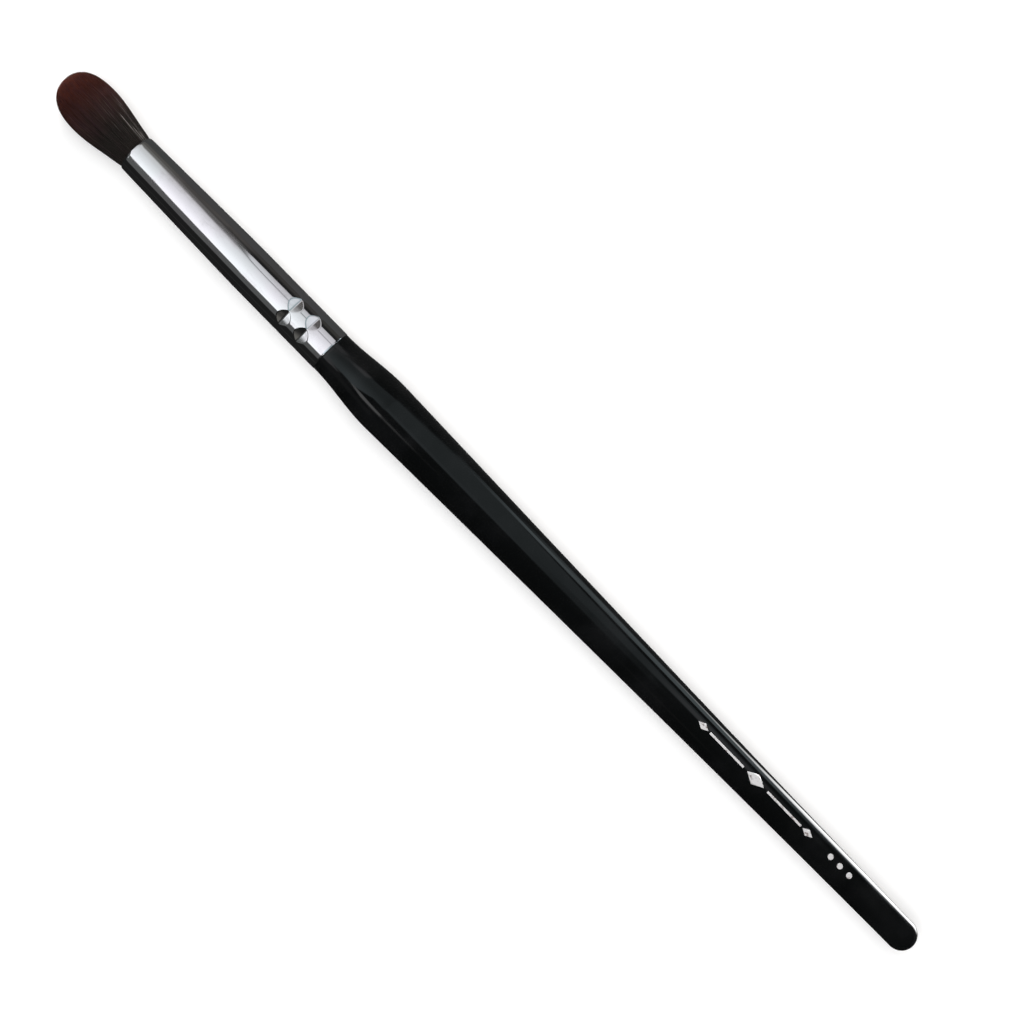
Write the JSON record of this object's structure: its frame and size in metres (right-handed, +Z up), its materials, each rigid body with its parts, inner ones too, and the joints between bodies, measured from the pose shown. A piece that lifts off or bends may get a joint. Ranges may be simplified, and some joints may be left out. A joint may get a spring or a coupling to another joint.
{
  "type": "eyeshadow brush",
  "caption": "Slim round makeup brush: domed bristle head, crimped metal ferrule with a rolled lip, and a turned handle with a belly, long taper and round tail.",
  "frame": {"origin": "under the middle of the brush's length, on the plane that the belly of the lying brush touches", "axes": "+X along the brush's axis from the tail towards the bristle tip, +Z up; the brush lies with its axis level"},
  "size_m": [0.175, 0.0084, 0.0083],
  "materials": {
    "bristle": "fine synthetic filaments, burgundy brown at the tips and near black at the root",
    "thread": "natural thread",
    "adhesive": "clear amber set adhesive",
    "ferrule_metal": "bright nickel plate",
    "lacquered_wood": "gloss black lacquer"
  },
  "bodies": {
    "root": {"bristle_tuft": "bristle", "tuft_binding": "thread", "root_adhesive": "adhesive", "ferrule": "ferrule_metal", "tenon_adhesive": "adhesive", "handle": "lacquered_wood"}
  },
  "joints": []
}
